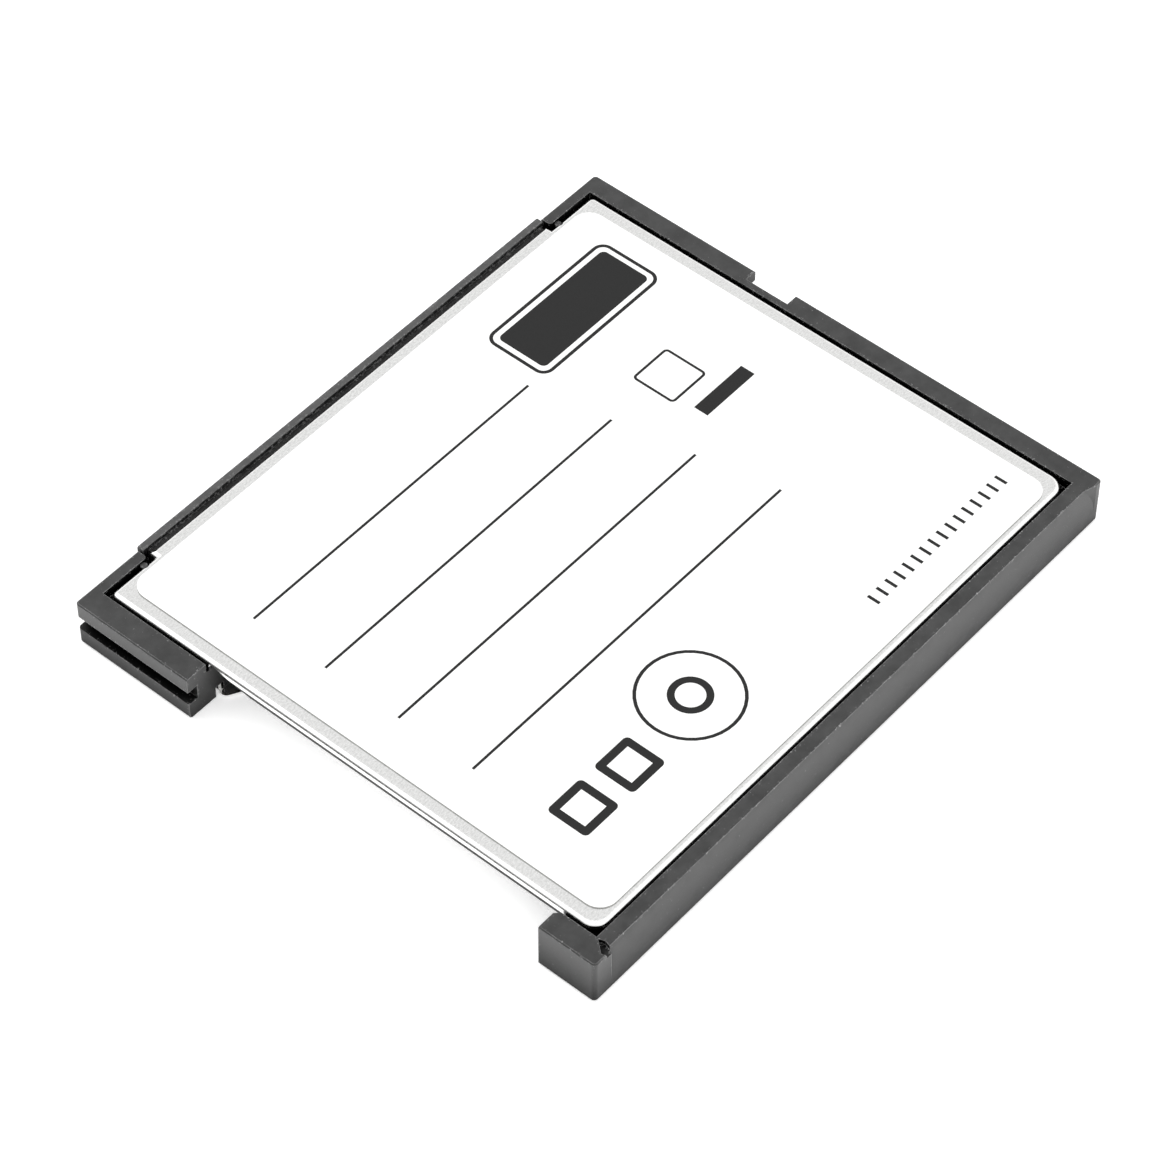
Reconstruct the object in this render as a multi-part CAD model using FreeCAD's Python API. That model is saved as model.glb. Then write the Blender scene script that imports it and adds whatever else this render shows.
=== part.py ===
import FreeCAD, Part
import math
import os

# Memory card adapter, in millimetres. A flat host card body takes a smaller flat card from its side
# and joins its nine pads, through a controller, to a 50-way socket along the front edge.
# X runs across the body: the slot for the small card is at -X, the far rail at +X.
# Y runs from the rear wall to the socket at +Y. Z is up, with the label side on top and the
# underside at Z = 0. The origin is the centre of the underside.

V = FreeCAD.Vector

# Outer body, to the host card's outline
body_width = 42.8
frame_depth = 36.4
frame_thickness = 3.2
collar_proud = 0.1
socket_proud = 0.15
corner_radius = 0.25
underside_chamfer = 0.15
top_edge_chamfer = 0.08

# Walls of the moulded frame
arm_width = 1.45
arm_base_width = 2.0
arm_length = 8.25
rail_width = 1.29
rear_wall = 1.13
bar_width = 0.7
socket_from_side = 4.8
rear_block = 3.75
bar_corner_radius = 0.2
block_chamfer = 0.3
gate_nick_width = 0.5
gate_nick_length = 0.72
gate_nick_depth = 0.3
rear_crown = 0.27
rear_crown_start = 0.9
rear_crown_left = 1.3
rear_crown_right = 0.5
rear_crown_fade = 0.9

# Guide grooves and key notch of the host card standard
slot_side_groove = 0.99
slot_side_groove_depth = 0.7
far_side_groove = 1.6
far_side_groove_depth = 0.76
groove_length = 25.78
notch_from_front = 12.0
notch_length = 3.0
notch_depth = 0.86

# Bay for the small card, which is 32 x 24 x 2.1
card_stop_from_side = 10.7
walls_over_card = 1.1
small_card_pad_depth = 0.7
small_card_side_gap = 0.2
small_card_end_gap = 0.1
small_card_float = 0.05
card_floor = 0.6
rib_thickness = 0.6
guide_width = 0.9
guide_lead = 2.6
guide_end_gap = 0.4
cross_rib_pitch = 5.2
cross_rib_start = 2.4

# Ledges that carry the covers and the circuit board
ledge_width = 0.7
slot_side_ledge = 1.25
board_ledge_width = 0.7

# Pressed steel covers
sheet = 0.2
bend_radius = 0.4
corner_trim = 0.08
corner_trim_length = 0.6
upper_flange = 0.7
lower_flange = 0.75
cover_gap = 0.2
cover_far_gap = 0.07
cover_rear_gap = 0.12
cover_bar_gap = 0.22
cover_socket_gap = 0.2
cover_slot_step_gap = 0.3
cover_far_step_gap = 0.15
cover_rear_radius = 1.1
cover_front_radius = bend_radius
lip_height = 0.6
lip_taper = 2.6
lip_end_gap = 0.35
peg_radius = 0.2
peg_height = 0.08
peg_from_nose = 0.58
peg_notch_gap = 0.1
thumb_depth = 7.2
thumb_end_gap = 0.45
thumb_corner_radius = 0.4
clip_width = 2.4
clip_length = 0.5
clip_end_gap = 0.1
clip_side_gap = 0.05

# Blank label on the upper cover
label_thickness = 0.08
label_slot_margin = 0.99
label_far_margin = 1.04
label_rear_margin = 0.5
label_front_margin = 0.5
label_radius = 1.1

# Circuit board
board_thickness = 0.6
board_gap = 0.1
board_rib_gap = 0.18
board_strip = 2.12
board_corner_radius = 0.4
socket_body_gap = 0.1

# 50-way socket
socket_collar_depth = 0.43
socket_side_gap = 0.13
socket_ear = 1.73
socket_ear_drop = 0.5
step_slot_gap = 0.05
socket_edge_radius = 0.12
socket_end_wall = 0.725
pins_per_row = 25
front_wall = 0.5
pin_hole = 0.62
hole_chamfer = 0.15
cavity_wall = 0.45
row_web = 0.32
fork_width = 0.4
fork_root = 1.3
fork_tip_gap = 0.45
fork_touch_gap = 0.3
fork_touch_length = 0.5
socket_tail_length = 1.35
socket_tail_thickness = 0.15

# Contacts for the small card
contact_count = 9
contact_width = 0.8
contact_sheet = 0.15
contact_reach = 2.4
early_contact_reach = 3.0
contact_preload = 0.3
contact_tip_length = 0.9
contact_tip_drop = 0.32
contact_rise_gap = 0.4
contact_tail_length = 1.0
contact_tail_rise = 0.25
contact_tail_gap = 0.2
root_bend_radius = 1.0
crown_bend_radius = 0.5

# Moulded carrier of the contacts
carrier_floor = 0.2
carrier_side_gap = 0.15
carrier_stop = 0.8
carrier_block = 2.0
carrier_channel = 0.9
carrier_channel_height = 0.5
carrier_window_margin = 0.15
carrier_front_lip = 0.5
stop_top_gap = 0.3

# Switches beside the bay
switch_sheet = 0.12
switch_web_gap = 0.05
switch_lift = 0.12
switch_run = 1.6
switch_bump_in = 0.33
switch_bump_half = 1.5
switch_end_depth = 0.25
switch_foot_width = 0.8
switch_foot_length = 0.9
switch_contact_length = 1.2
switch_contact_height = 0.7
switch_window_gap = 0.2
switch_bump_radius = 0.6
switch_knee_radius = 0.3
card_detect_from_stop = 4.9

# Parts soldered to the board
controller_side = 7.0
controller_headroom = 0.1
controller_chamfer = 0.12
controller_from_middle = -1.0
pin_mark_radius = 0.35
pin_mark_depth = 0.05
pin_mark_inset = 1.0
regulator_length = 2.9
regulator_width = 1.6
regulator_headroom = 0.07
regulator_gap = 0.6
lead_width = 0.4
lead_thickness = 0.12
lead_reach = 0.6
lead_pitch = 0.95
crystal_length = 3.2
crystal_width = 2.5
crystal_headroom = 0.15
crystal_rim = 0.25
crystal_lid = 0.25
crystal_from_rear = 2.6
bulk_capacitor_length = 2.0
bulk_capacitor_width = 1.25
bulk_capacitor_headroom = 0.1
bulk_capacitor_from_strip = 1.6
small_chip_length = 1.0
small_chip_width = 0.5
bypass_capacitor_height = 0.5
resistor_height = 0.35
end_cap = 0.25
end_cap_skin = 0.03
resistor_count = 6

# Insulating films inside the covers
film = 0.1
film_margin = 0.2

# Two places nearer than this are the same
same_place = 1e-6

# Levels along X
slot_x = -body_width / 2
far_x = body_width / 2
arm_inner_x = slot_x + arm_width
arm_base_inner_x = slot_x + arm_base_width
rail_inner_x = far_x - rail_width
cover_right_x = rail_inner_x - cover_far_gap
ledge_left_x = arm_inner_x + slot_side_ledge
ledge_right_x = rail_inner_x - ledge_width
card_stop_x = far_x - card_stop_from_side
small_card_length = card_stop_x - small_card_end_gap - slot_x
rib_left_x = arm_base_inner_x + cover_gap + sheet + cover_gap
rib_end_x = card_stop_x + carrier_stop
board_left_x = rib_end_x + board_gap + board_gap
board_right_x = ledge_right_x - board_gap

# Levels along Y
body_depth = frame_depth + socket_proud
rear_y = -body_depth / 2
front_y = body_depth / 2
arm_end_y = rear_y + frame_depth
rear_inner_y = rear_y + rear_wall
bar_inner_y = arm_end_y - bar_width
mouth_front_y = arm_end_y - arm_length
mouth_rear_y = rear_y + rear_block
small_card_width = mouth_front_y - mouth_rear_y - 2 * small_card_side_gap
rib_outer_y = mouth_front_y + rib_thickness
rear_rib_y = mouth_rear_y - rib_thickness
ledge_rear_y = rear_inner_y + ledge_width
collar_y = front_y - socket_collar_depth
board_strip_y = rib_outer_y + board_rib_gap
board_front_y = board_strip_y + board_strip
socket_rear_y = board_front_y + socket_body_gap
board_rear_y = ledge_rear_y + board_gap
web_front_y = board_front_y - socket_tail_length - board_gap

# Levels along Z
body_thickness = frame_thickness + collar_proud
middle_z = body_thickness / 2
upper_inside_z = frame_thickness - sheet
ledge_top_z = frame_thickness - upper_flange
ledge_bottom_z = lower_flange
board_bottom_z = middle_z - board_thickness / 2
board_top_z = middle_z + board_thickness / 2
carrier_bottom_z = sheet + film
carrier_floor_z = carrier_bottom_z + carrier_floor
card_top_z = card_floor + frame_thickness - walls_over_card
pad_z = card_floor + small_card_pad_depth
headroom = upper_inside_z - film - board_top_z

# Widths of the socket
opening_x = far_x - socket_from_side
nose_x = opening_x - socket_side_gap
slot_step_x = cover_slot_step_gap - opening_x
far_step_x = opening_x - cover_far_step_gap
ear_x = nose_x + socket_ear
peg_x = nose_x + peg_from_nose
peg_y = bar_inner_y - peg_radius

# Pins of the socket, at 1.27 both ways, and the forks in their cavities
pin_pitch = 2 * (opening_x - socket_end_wall) / pins_per_row
cavity_height = frame_thickness / 2 - sheet - cavity_wall
row_pitch = cavity_height + row_web
fork_beam = cavity_height / 4
fork_tip = cavity_height / 8

# Pads of the small card: an even pitch of 2.5, less for the last one, and three that meet first
contact_pitch = small_card_width / 9.6
last_contact_pitch = contact_pitch * 0.68
first_pad_offset = contact_pitch * 1.35
power_pads = ("3", "4", "6")

# Parts along the board
write_protect_from_stop = small_card_length * 0.428
resistor_room = (card_stop_x - write_protect_from_stop - switch_bump_half
                 - switch_contact_length + ear_x)
resistor_pitch = resistor_room / (resistor_count + 0.5)


def box(x0, x1, y0, y1, z0, z1):
    """A block between two corners."""
    return Part.makeBox(x1 - x0, y1 - y0, z1 - z0, V(x0, y0, z0))


def to_plane(plane, u, v, level):
    """A point of the drawing plane xy, xz or yz at the given level."""
    return {"xy": V(u, v, level), "xz": V(u, level, v), "yz": V(level, u, v)}[plane]


def closed_wire(corners, plane="xy", level=0.0):
    """A closed outline through corners (u, v, radius), each rounded by a tangent arc."""
    edges = []
    ends = []
    count = len(corners)
    for i, (u, v, radius) in enumerate(corners):
        before = corners[i - 1]
        after = corners[(i + 1) % count]
        here = V(u, v, 0)
        to_before = (V(before[0], before[1], 0) - here).normalize()
        to_after = (V(after[0], after[1], 0) - here).normalize()
        if radius <= 0:
            ends.append((here, None, here))
            continue
        half = to_before.getAngle(to_after) / 2
        reach = radius / math.tan(half)
        inward = (to_before + to_after).normalize()
        centre = here + inward * (radius / math.sin(half))
        ends.append((here + to_before * reach, centre - inward * radius, here + to_after * reach))
    flat = [[to_plane(plane, p.x, p.y, level) if p else None for p in group] for group in ends]
    for i, (start, middle, end) in enumerate(flat):
        if middle is not None:
            edges.append(Part.Arc(start, middle, end).toShape())
        following = flat[(i + 1) % count][0]
        if end.distanceToPoint(following) > same_place:
            edges.append(Part.LineSegment(end, following).toShape())
    return Part.Wire(edges)


def prism(corners, plane, start, end):
    """A solid whose section in the plane has the given rounded corners."""
    along = to_plane(plane, 0, 0, end - start)
    return Part.Face(closed_wire(corners, plane, start)).extrude(along)


def strip_section(path, thickness):
    """Corners of a bent strip of even thickness along a centre line of (u, v, bend radius)."""
    points = [V(u, v, 0) for u, v, _ in path]
    count = len(points)
    sides = {}
    for side in (1, -1):
        corners = []
        for i in range(count):
            first = (points[i] - points[i - 1]).normalize() if i else None
            second = (points[i + 1] - points[i]).normalize() if i < count - 1 else None
            first = first or second
            second = second or first
            n1 = V(-first.y, first.x, 0)
            n2 = V(-second.y, second.x, 0)
            shift = (n1 + n2) * (side * thickness / 2 / (1 + n1.dot(n2)))
            turn = first.x * second.y - first.y * second.x
            radius = path[i][2]
            if radius > 0:
                radius -= math.copysign(thickness / 2, side * turn)
            place = points[i] + shift
            corners.append((place.x, place.y, radius))
        sides[side] = corners
    return sides[1] + sides[-1][::-1]


def edges_at_z(shape, z):
    """The edges of a shape that lie flat at one height."""
    found = []
    for edge in shape.Edges:
        limits = edge.BoundBox
        if abs(limits.ZMin - z) < same_place and abs(limits.ZMax - z) < same_place:
            found.append(edge)
    return found


def joined(first, *others):
    """One solid from pieces that touch, with the seams between flat faces removed."""
    return first.multiFuse(list(others)).removeSplitter()


def cut_all(shape, tools):
    """The shape less all of the tools."""
    return shape.cut(Part.makeCompound(tools)).removeSplitter()


def clip_places():
    """Side and middle of each clip: two on the far rail and two on the rear wall."""
    middle_y = (rear_inner_y + bar_inner_y) / 2
    middle_x = (arm_inner_x + rail_inner_x) / 2
    span_y = (bar_inner_y - rear_inner_y) / 4
    span_x = (rail_inner_x - arm_inner_x) / 4
    return (
        ("far", middle_y - span_y),
        ("far", middle_y + span_y),
        ("rear", middle_x - span_x),
        ("rear", middle_x + span_x),
    )


def clip_block(side, place, grow, z0, z1):
    """A clip of a cover, or with grow its slot in the ledge, between two heights."""
    half = clip_width / 2 + grow
    if side == "far":
        return box(cover_right_x - sheet - grow, cover_right_x + grow, place - half, place + half, z0, z1)
    edge = rear_inner_y + cover_rear_gap
    return box(place - half, place + half, edge - grow, edge + sheet + grow, z0, z1)


def switch_places():
    """Middles of the two switch blades, along the front wall of the bay."""
    return {
        "write_protect": card_stop_x - write_protect_from_stop,
        "card_detect": card_stop_x - card_detect_from_stop,
    }


def frame_ring():
    """Outer walls with chamfered edges, the cover pockets, the mouth and the socket opening."""
    outline = [
        (slot_x, rear_y, corner_radius),
        (far_x, rear_y, corner_radius),
        (far_x, arm_end_y, corner_radius),
        (slot_x, arm_end_y, corner_radius),
    ]
    ring = prism(outline, "xy", 0, frame_thickness)
    ring = ring.makeChamfer(underside_chamfer, edges_at_z(ring, 0))
    ring = ring.makeChamfer(top_edge_chamfer, edges_at_z(ring, frame_thickness))
    above = frame_thickness + rib_thickness
    upper_pocket = box(arm_inner_x, rail_inner_x, rear_inner_y, bar_inner_y, ledge_top_z, above)
    lower_pocket = box(arm_base_inner_x, rail_inner_x, rear_inner_y, bar_inner_y,
                       -rib_thickness, ledge_bottom_z)
    middle = box(ledge_left_x, ledge_right_x, ledge_rear_y, bar_inner_y, -rib_thickness, above)
    opening = prism(
        [
            (-opening_x, bar_inner_y - rib_thickness, 0),
            (opening_x, bar_inner_y - rib_thickness, 0),
            (opening_x, front_y + rib_thickness, 0),
            (-opening_x, front_y + rib_thickness, 0),
        ],
        "xy", -rib_thickness, above)
    mouth = prism(
        [
            (slot_x - rib_thickness, mouth_rear_y, 0),
            (arm_inner_x - block_chamfer, mouth_rear_y, 0),
            (arm_inner_x, mouth_rear_y - block_chamfer, 0),
            (arm_inner_x + block_chamfer, mouth_rear_y, 0),
            (ledge_left_x, mouth_rear_y, 0),
            (ledge_left_x, mouth_front_y, 0),
            (slot_x - rib_thickness, mouth_front_y, 0),
        ],
        "xy", -rib_thickness, above)
    return cut_all(ring, [upper_pocket, lower_pocket, middle, opening, mouth])


def frame_ribs():
    """Side walls of the bay, card guides, cross ribs, board ledges and the web under the board."""
    ribs = [
        box(rib_left_x, rib_end_x, mouth_front_y, rib_outer_y, sheet, upper_inside_z),
        box(rib_left_x, rib_end_x, rear_rib_y, mouth_rear_y, sheet, upper_inside_z),
        box(ledge_left_x, ledge_right_x, mouth_front_y, web_front_y, ledge_bottom_z, board_bottom_z),
    ]
    guide_start_x = rib_left_x + guide_lead
    guide_end_x = card_stop_x - contact_reach_limit() - guide_end_gap
    for wall_y, inward in ((mouth_front_y, -1), (mouth_rear_y, 1)):
        low_y, high_y = sorted((wall_y, wall_y + inward * guide_width))
        ribs.append(box(guide_start_x, guide_end_x, low_y, high_y,
                        sheet, card_floor - small_card_float))
        ribs.append(box(guide_start_x, guide_end_x, low_y, high_y,
                        card_top_z + small_card_float, upper_inside_z))
    rib_x = ledge_left_x + cross_rib_start
    while rib_x + rib_thickness < rib_end_x:
        ribs.append(box(rib_x, rib_x + rib_thickness, ledge_rear_y, rear_rib_y,
                        ledge_bottom_z, ledge_top_z))
        rib_x += cross_rib_pitch
    ribs.append(box(ledge_right_x - board_ledge_width, ledge_right_x, ledge_rear_y, board_front_y,
                    ledge_bottom_z, board_bottom_z))
    ribs.append(box(rib_end_x, ledge_right_x, ledge_rear_y, ledge_rear_y + board_ledge_width,
                    ledge_bottom_z, board_bottom_z))
    ribs.append(box(rib_end_x, rib_end_x + rib_thickness, ledge_rear_y, mouth_rear_y,
                    ledge_bottom_z, board_bottom_z))
    return ribs


def frame_cutters():
    """Guide grooves, key notch, crowned rear face, gate nick, clip slots and switch windows."""
    outside = rib_thickness
    cutters = [
        box(slot_x - outside, slot_x + slot_side_groove_depth, mouth_front_y - outside,
            front_y + outside, middle_z - slot_side_groove / 2, middle_z + slot_side_groove / 2),
        box(far_x - far_side_groove_depth, far_x + outside, arm_end_y - groove_length,
            front_y + outside, middle_z - far_side_groove / 2, middle_z + far_side_groove / 2),
        box(far_x - notch_depth, far_x + outside, arm_end_y - notch_from_front - notch_length,
            arm_end_y - notch_from_front, -outside, frame_thickness + outside),
    ]
    bottom = V(slot_x + rear_crown_left, rear_y, rear_crown_start)
    rise = frame_thickness - rear_crown_start
    crown_radius = (rise * rise + rear_crown * rear_crown) / (2 * rear_crown)
    half_angle = math.atan2(rise, crown_radius - rear_crown) / 2
    middle = bottom + V(0, crown_radius * (1 - math.cos(half_angle)),
                        crown_radius * math.sin(half_angle))
    top = bottom + V(0, rear_crown, rise)
    above = top + V(0, 0, outside)
    behind = V(bottom.x, rear_y - outside, above.z)
    below = V(bottom.x, rear_y - outside, bottom.z)
    crown = Part.Wire([
        Part.Arc(bottom, middle, top).toShape(),
        Part.LineSegment(top, above).toShape(),
        Part.LineSegment(above, behind).toShape(),
        Part.LineSegment(behind, below).toShape(),
        Part.LineSegment(below, bottom).toShape(),
    ])
    crown_width = body_width - rear_crown_left - rear_crown_right
    crown_end_x = bottom.x + crown_width
    fade = prism(
        [
            (bottom.x, behind.y - outside, 0),
            (crown_end_x + rear_crown_fade, behind.y - outside, 0),
            (crown_end_x, rear_y, 0),
            (crown_end_x - rear_crown_fade, rear_y + rear_crown, 0),
            (bottom.x, rear_y + rear_crown + outside, 0),
        ],
        "xy", 0, above.z)
    cutters.append(Part.Face(crown).extrude(V(crown_width, 0, 0)).common(fade))
    nick_x = slot_x + rear_crown_left
    cutters.append(prism(
        [
            (nick_x - gate_nick_width, rear_y + rear_crown, 0),
            (nick_x - gate_nick_width / 5, rear_y - outside, 0),
            (nick_x + gate_nick_width / 2, rear_y + rear_crown + gate_nick_length / 2, 0),
            (nick_x + gate_nick_width / 5, rear_y + rear_crown + gate_nick_length, 0),
        ],
        "xy", frame_thickness - gate_nick_depth, above.z))
    for side, place in clip_places():
        cutters.append(clip_block(side, place, clip_side_gap,
                                  ledge_top_z - clip_length - clip_end_gap, ledge_top_z))
        cutters.append(clip_block(side, place, clip_side_gap,
                                  ledge_bottom_z, ledge_bottom_z + clip_length + clip_end_gap))
    for middle_x in switch_places().values():
        cutters.append(box(middle_x - switch_bump_half - switch_window_gap,
                           middle_x + switch_bump_half + switch_window_gap,
                           mouth_front_y - guide_width, rib_outer_y,
                           board_bottom_z,
                           board_top_z + switch_lift + switch_window_gap))
    return cutters


def contact_reach_limit():
    """How far the carrier's floor lies under the inserted card."""
    return early_contact_reach + contact_tip_length + carrier_front_lip


def make_frame():
    """The black moulded frame: C shaped, open at the mouth and at the socket."""
    solid = joined(frame_ring(), *frame_ribs())
    bar_corners = [edge for edge in solid.Edges
                   if edge.BoundBox.XLength + edge.BoundBox.YLength < same_place
                   and abs(abs(edge.BoundBox.XMin) - opening_x) < same_place
                   and abs(edge.BoundBox.YMin - bar_inner_y) < same_place]
    solid = solid.makeFillet(bar_corner_radius, bar_corners)
    return cut_all(solid, frame_cutters())


def cover_outline(left_x, inset):
    """Stepped outline of a cover, moved inwards by inset."""
    right_x = cover_right_x - inset
    back_y = rear_inner_y + cover_rear_gap + inset
    wide_y = bar_inner_y - cover_bar_gap - inset
    middle_y = collar_y - cover_socket_gap - inset
    return [
        (left_x + inset, back_y, cover_rear_radius - inset),
        (right_x, back_y, cover_rear_radius - inset),
        (right_x, wide_y, cover_front_radius - inset),
        (far_step_x - inset, wide_y, 0),
        (far_step_x - inset, middle_y, 0),
        (slot_step_x + inset, middle_y, 0),
        (slot_step_x + inset, wide_y, 0),
        (left_x + inset, wide_y, cover_front_radius - inset),
    ]


def corner_trims(left_x, flange):
    """Cutters that set the rounded rear corners of a cover back from its straight sides."""
    back_y = rear_inner_y + cover_rear_gap
    reach = cover_rear_radius + corner_trim_length
    tools = []
    for edge_x, inwards in ((left_x, 1), (cover_right_x, -1)):
        corner = box(*sorted((edge_x - inwards * sheet, edge_x + inwards * reach)),
                     back_y - sheet, back_y + reach, 0, flange)
        trimmed_x = edge_x + inwards * corner_trim
        inner_x = edge_x + inwards * 2 * reach
        tools.append(corner.cut(prism(
            [
                (trimmed_x, back_y + corner_trim, cover_rear_radius - corner_trim),
                (inner_x, back_y + corner_trim, 0),
                (inner_x, back_y + 2 * reach, 0),
                (trimmed_x, back_y + 2 * reach, 0),
            ],
            "xy", 0, flange)))
    return tools


def pressed_tray(left_x, flange):
    """A cover pressed from sheet: a flat face down at Z = 0 with a bent flange standing up.

    The front edges are plain, but the two sides of the step keep their flange.
    """
    outer = prism(cover_outline(left_x, 0), "xy", 0, flange)
    outer = outer.makeFillet(bend_radius, edges_at_z(outer, 0))
    inner = prism(cover_outline(left_x, sheet), "xy", sheet, flange + sheet)
    inner = inner.makeFillet(bend_radius - sheet, edges_at_z(inner, sheet))
    bend_y = bar_inner_y - cover_bar_gap - bend_radius
    high = flange + sheet
    cutters = corner_trims(left_x, flange) + [
        inner,
        box(left_x + sheet, slot_step_x, bend_y, front_y, sheet, high),
        box(far_step_x, cover_right_x - sheet, bend_y, front_y, sheet, high),
        box(slot_step_x + sheet, far_step_x - sheet, bend_y, front_y, sheet, high),
    ]
    for side in (-1, 1):
        cutters.append(Part.makeCylinder(peg_radius + peg_notch_gap, flange,
                                         V(side * peg_x, peg_y, 0)))
    return cut_all(outer, cutters)


def add_clips(tray, flange):
    """The tray with its clips, which stand on the flange."""
    clips = [clip_block(side, place, 0, flange - bend_radius, flange + clip_length)
             for side, place in clip_places()]
    return joined(tray, *clips)


def make_upper_cover():
    """Label side cover, with a low lip over the mouth that tapers away towards the arm."""
    left_x = arm_inner_x + cover_gap
    tray = add_clips(pressed_tray(left_x, upper_flange), upper_flange)
    mouth = prism(
        [
            (mouth_rear_y, upper_flange + clip_length, 0),
            (mouth_rear_y, lip_height, 0),
            (mouth_front_y - lip_end_gap - lip_taper, lip_height, 0),
            (mouth_front_y - lip_end_gap, sheet, 0),
            (mouth_front_y, sheet, 0),
            (mouth_front_y, upper_flange + clip_length, 0),
        ],
        "yz", left_x - cover_gap, left_x + bend_radius)
    tray = tray.cut(mouth)
    # The tray was drawn face down, so it is turned over about X and lifted.
    upright = tray.mirror(V(0, 0, 0), V(0, 0, 1))
    upright.translate(V(0, 0, frame_thickness))
    return upright


def make_lower_cover():
    """Underside cover, cut away in an arc at the mouth so that a thumb can push the card out."""
    left_x = arm_base_inner_x + cover_gap
    tray = add_clips(pressed_tray(left_x, lower_flange), lower_flange)
    high = lower_flange + clip_length
    mouth_flange = box(left_x - cover_gap, left_x + bend_radius, mouth_rear_y, mouth_front_y,
                       sheet, high)
    flat_edge = box(left_x, left_x + 2 * bend_radius, mouth_rear_y, mouth_front_y, 0, sheet)
    tray = joined(tray.cut(mouth_flange), flat_edge)
    half_chord = (mouth_front_y - mouth_rear_y) / 2 - thumb_end_gap
    thumb_radius = (half_chord ** 2 + thumb_depth ** 2) / (2 * thumb_depth)
    thumb = Part.makeCylinder(thumb_radius, high,
                              V(left_x + thumb_depth - thumb_radius,
                                (mouth_front_y + mouth_rear_y) / 2, 0))
    tray = tray.cut(thumb)
    corners = [edge for edge in tray.Edges
               if abs(edge.BoundBox.ZLength - sheet) < same_place
               and abs(edge.BoundBox.XMax - left_x) < same_place
               and mouth_rear_y + sheet < edge.BoundBox.YMin < mouth_front_y - sheet]
    return tray.makeFillet(thumb_corner_radius, corners)


def make_label():
    """Thin blank label with rounded corners on the upper cover."""
    left_x = arm_inner_x + cover_gap + label_slot_margin
    right_x = cover_right_x - label_far_margin
    back_y = rear_inner_y + cover_rear_gap + label_rear_margin
    top_y = bar_inner_y - cover_bar_gap - label_front_margin
    outline = [(left_x, back_y, label_radius), (right_x, back_y, label_radius),
               (right_x, top_y, label_radius), (left_x, top_y, label_radius)]
    return prism(outline, "xy", frame_thickness, frame_thickness + label_thickness)


def make_board():
    """L shaped circuit board, routed round at its inner corner."""
    strip_left_x = -ear_x
    outline = [
        (board_left_x, board_rear_y, 0),
        (board_right_x, board_rear_y, 0),
        (board_right_x, board_front_y, 0),
        (strip_left_x, board_front_y, 0),
        (strip_left_x, board_strip_y, 0),
        (board_left_x, board_strip_y, board_corner_radius),
    ]
    return prism(outline, "xy", board_bottom_z, board_top_z)


def pin_x(index):
    """Place across the body of one pin position."""
    return (index - (pins_per_row - 1) / 2) * pin_pitch


def row_z(side):
    """Height of the upper (1) or lower (-1) row of pins."""
    return middle_z + side * row_pitch / 2


def step_slots():
    """Cuts in the socket's corners for the flanges at the covers' steps."""
    rear = bar_inner_y - cover_bar_gap - bend_radius - step_slot_gap
    slots = []
    for low_x, high_x in ((-nose_x, slot_step_x + sheet + step_slot_gap),
                          (far_step_x - sheet - step_slot_gap, nose_x)):
        slots.append(box(low_x, high_x, rear, collar_y,
                         frame_thickness - upper_flange - step_slot_gap, upper_inside_z))
        slots.append(box(low_x, high_x, rear, collar_y, sheet, lower_flange + step_slot_gap))
    return slots


def make_socket_housing():
    """Moulded 50-way socket with a collar, ears, cover pegs and a cavity for each contact."""
    ear_top_z = upper_inside_z - socket_ear_drop
    ears = box(-ear_x, ear_x, socket_rear_y, bar_inner_y, sheet, ear_top_z)
    nose = box(-nose_x, nose_x, socket_rear_y, collar_y, sheet, upper_inside_z)
    collar = box(-nose_x, nose_x, collar_y, front_y, 0, body_thickness)
    rounded = [edge for edge in collar.Edges if edge.BoundBox.YLength > socket_collar_depth / 2]
    collar = collar.makeFillet(socket_edge_radius, rounded)
    pegs = [Part.makeCylinder(peg_radius, socket_ear_drop + peg_height,
                              V(side * peg_x, peg_y, ear_top_z))
            for side in (-1, 1)]
    housing = cut_all(joined(ears, nose, collar, *pegs), step_slots())
    wall_y = front_y - front_wall
    half = pin_hole / 2
    mouth = half + hole_chamfer
    cavity = box(-half, half, socket_rear_y, wall_y, -cavity_height / 2, cavity_height / 2)
    hole = box(-half, half, wall_y, front_y, -half, half)
    lead_in = Part.makeWedge(-half, front_y - hole_chamfer, -half, -mouth, -mouth,
                             half, front_y, half, mouth, mouth)
    way = joined(cavity, hole, lead_in)
    ways = []
    for side in (-1, 1):
        for index in range(pins_per_row):
            ways.append(way.translated(V(pin_x(index), 0, row_z(side))))
    return housing.cut(Part.makeCompound(ways))


def make_socket_contact(side):
    """One stamped fork contact, as a section in the YZ plane, centred on its pin's axis."""
    half = cavity_height / 2
    surface = board_thickness / 2 - row_pitch / 2
    tail_y = board_front_y - socket_tail_length
    root_y = socket_rear_y + fork_root
    tip_y = front_y - front_wall - fork_tip_gap
    touch_y = tip_y - fork_touch_length
    inner = half - fork_beam
    touch = fork_touch_gap / 2
    upper = [(root_y, inner), (touch_y, touch), (tip_y, touch + fork_tip / 2),
             (tip_y, touch + fork_tip * 2), (socket_rear_y, half)]
    lower = [(root_y, -inner), (touch_y, -touch), (tip_y, -touch - fork_tip / 2),
             (tip_y, -touch - fork_tip * 2), (socket_rear_y, -half)]
    tail = [(socket_rear_y, surface), (tail_y, surface),
            (tail_y, surface + socket_tail_thickness),
            (socket_rear_y, surface + socket_tail_thickness)]
    corners = [(y, side * z, 0) for y, z in lower + tail + upper[::-1]]
    return prism(corners, "yz", -fork_width / 2, fork_width / 2)


def make_socket_row(side):
    """A row of separate fork contacts, with tails flat on one face of the board."""
    contact = make_socket_contact(side)
    return Part.makeCompound([contact.translated(V(pin_x(index), 0, row_z(side)))
                              for index in range(pins_per_row)])


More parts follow.
